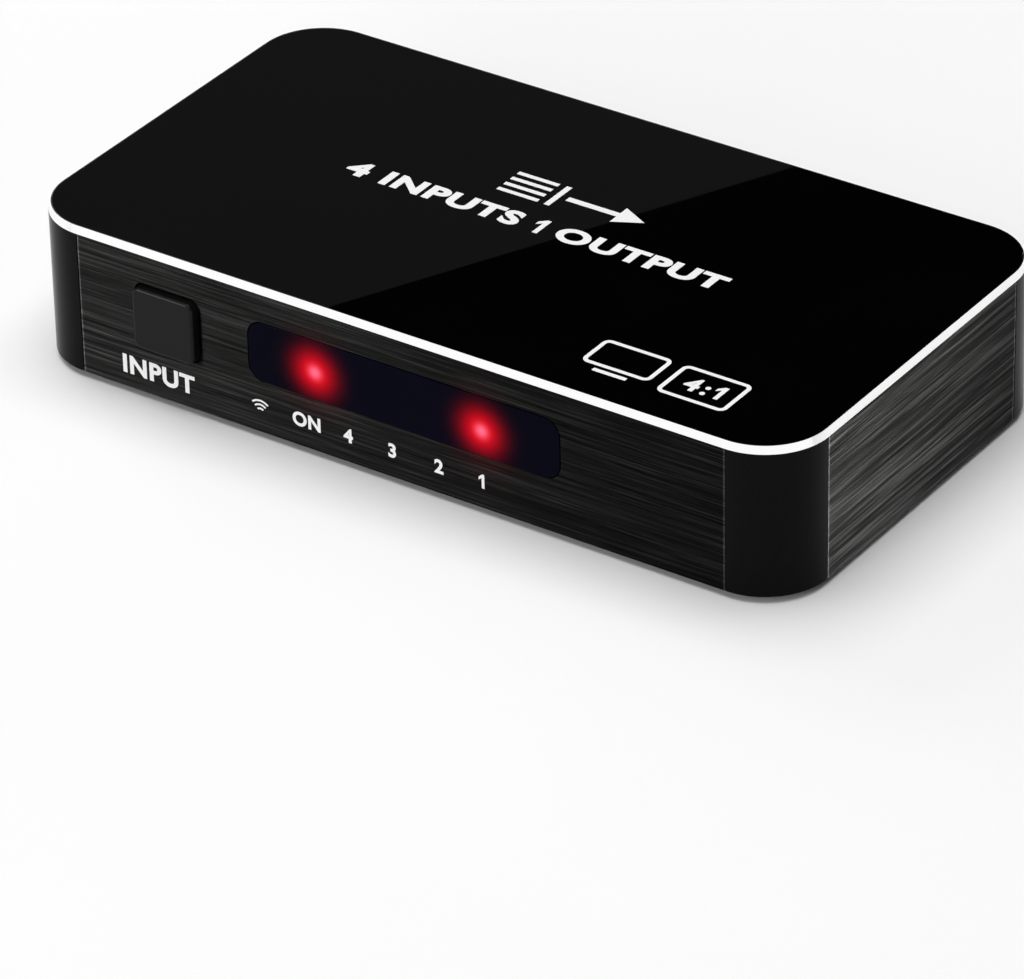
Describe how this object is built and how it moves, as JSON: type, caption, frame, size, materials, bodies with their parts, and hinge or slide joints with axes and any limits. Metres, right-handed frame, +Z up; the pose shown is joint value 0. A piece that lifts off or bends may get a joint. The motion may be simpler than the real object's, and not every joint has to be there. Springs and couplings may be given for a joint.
{
  "type": "video switch box",
  "caption": "Low rounded desktop box with brushed dark sides, bright bevelled rim, gloss top, push button, smoked lamp window and rear and side sockets; selects a video source.",
  "frame": {"origin": "centre of the footprint, on the surface that the feet stand on", "axes": "+Z up, -Y out of the front with its button and window, +X to the right seen from the front"},
  "size_m": [0.1, 0.055, 0.0192],
  "materials": {
    "housing_black": "smooth satin black moulded plastic",
    "brushed_black": "black anodised, brushed lengthways",
    "bright_edge": "bright bevel cut edge",
    "gloss_black": "mirror gloss black sheet with white print",
    "tape": "double sided tape",
    "cover_black": "fine matte texture",
    "screw_steel": "plated",
    "foot_rubber": "matte rubber",
    "smoked_window": "dark smoked, polished",
    "button_black": "satin",
    "board_green": "solder mask over laminate",
    "socket_steel": "bright plated sheet",
    "socket_black": "moulded",
    "contact_gold": "gold plated",
    "switch_black": "moulded",
    "switch_steel": "stamped sheet",
    "plunger_red": "moulded",
    "lit_red": "clear red lens, lit",
    "unlit_red": "clear red lens, unlit",
    "receiver_dark": "dark moulded lens",
    "chip_black": "moulded package",
    "can_metal": "drawn can",
    "ceramic_tan": "fired",
    "ceramic_dark": "fired"
  },
  "bodies": {
    "case": {"housing_shell": "housing_black", "front_plate": "brushed_black", "rear_plate": "brushed_black", "left_plate": "brushed_black", "right_plate": "brushed_black", "trim_ring": "bright_edge", "top_panel": "gloss_black", "top_panel_tape": "tape", "bottom_cover": "cover_black", "cover_screws": "screw_steel", "rubber_feet": "foot_rubber", "indicator_window": "smoked_window", "circuit_board": "board_green", "board_screws": "screw_steel", "input_port_1_shell": "socket_steel", "input_port_1_insulator": "socket_black", "input_port_1_contacts": "contact_gold", "input_port_2_shell": "socket_steel", "input_port_2_insulator": "socket_black", "input_port_2_contacts": "contact_gold", "input_port_3_shell": "socket_steel", "input_port_3_insulator": "socket_black", "input_port_3_contacts": "contact_gold", "input_port_4_shell": "socket_steel", "input_port_4_insulator": "socket_black", "input_port_4_contacts": "contact_gold", "output_port_shell": "socket_steel", "output_port_insulator": "socket_black", "output_port_contacts": "contact_gold", "power_port_shell": "socket_steel", "power_port_insulator": "socket_black", "power_port_contacts": "contact_gold", "switch_base": "switch_black", "switch_cover": "switch_steel", "switch_dome": "switch_steel", "led_holder": "switch_black", "power_led": "lit_red", "channel_led_1": "lit_red", "channel_led_2": "unlit_red", "channel_led_3": "unlit_red", "channel_led_4": "unlit_red", "infrared_receiver": "receiver_dark", "switch_chip": "chip_black", "controller_chip": "chip_black", "voltage_regulator": "chip_black", "crystal": "can_metal", "bulk_capacitors": "can_metal", "chip_capacitors": "ceramic_tan", "chip_resistors": "ceramic_dark", "filter_chokes": "ceramic_dark"},
    "button": {"select_button": "button_black"},
    "plunger": {"switch_plunger": "plunger_red"}
  },
  "joints": [
    {"name": "button_slide", "type": "slide", "parent": "case", "child": "button", "axis": [0, 1, 0], "range_m": [0, 0.0003], "stiffness_N_per_m": 6000},
    {"name": "plunger_slide", "type": "slide", "parent": "case", "child": "plunger", "axis": [0, 1, 0], "range_m": [0, 0.0003], "deforming": ["switch_dome"]}
  ],
  "couplings": [
    {"joint": "plunger_slide", "follows": "button_slide", "ratio": 1}
  ]
}
